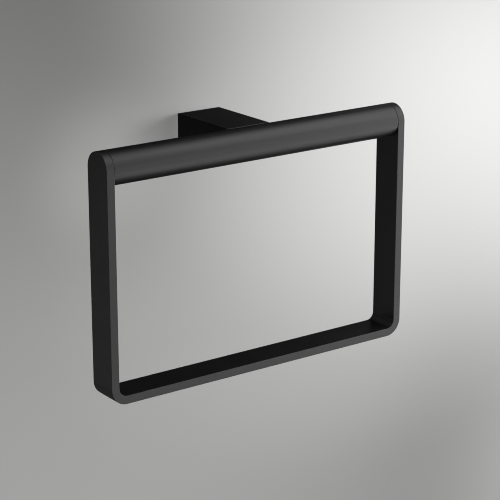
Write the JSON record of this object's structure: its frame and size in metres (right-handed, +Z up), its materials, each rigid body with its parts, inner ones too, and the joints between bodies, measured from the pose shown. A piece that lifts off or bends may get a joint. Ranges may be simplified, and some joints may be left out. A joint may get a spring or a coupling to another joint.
{
  "type": "towel holder",
  "caption": "Wall-mounted towel holder: rectangular loop of black flat bar, closed at the top by a round tube and carried on one rectangular post.",
  "frame": {"origin": "middle of the wall block's back face, on the wall's surface, in the middle of the post's back", "axes": "+X to the right seen from the front, along the cross bar; +Y into the wall; +Z up"},
  "size_m": [0.21, 0.066, 0.145],
  "materials": {
    "black_coat": "satin",
    "turned_brass": "satin",
    "screw_steel": "satin",
    "black_steel": "satin",
    "plated_steel": "satin"
  },
  "bodies": {
    "root": {"towel_loop": "black_coat", "cross_bar": "black_coat", "bracket_post": "black_coat", "bar_spigot_left": "turned_brass", "bar_spigot_right": "turned_brass", "bar_nut": "turned_brass", "spigot_screws": "screw_steel", "post_screws": "screw_steel", "post_screw_washers": "screw_steel", "bar_grub_screws": "black_steel", "post_grub_screw": "black_steel", "wall_block": "plated_steel"}
  },
  "joints": []
}
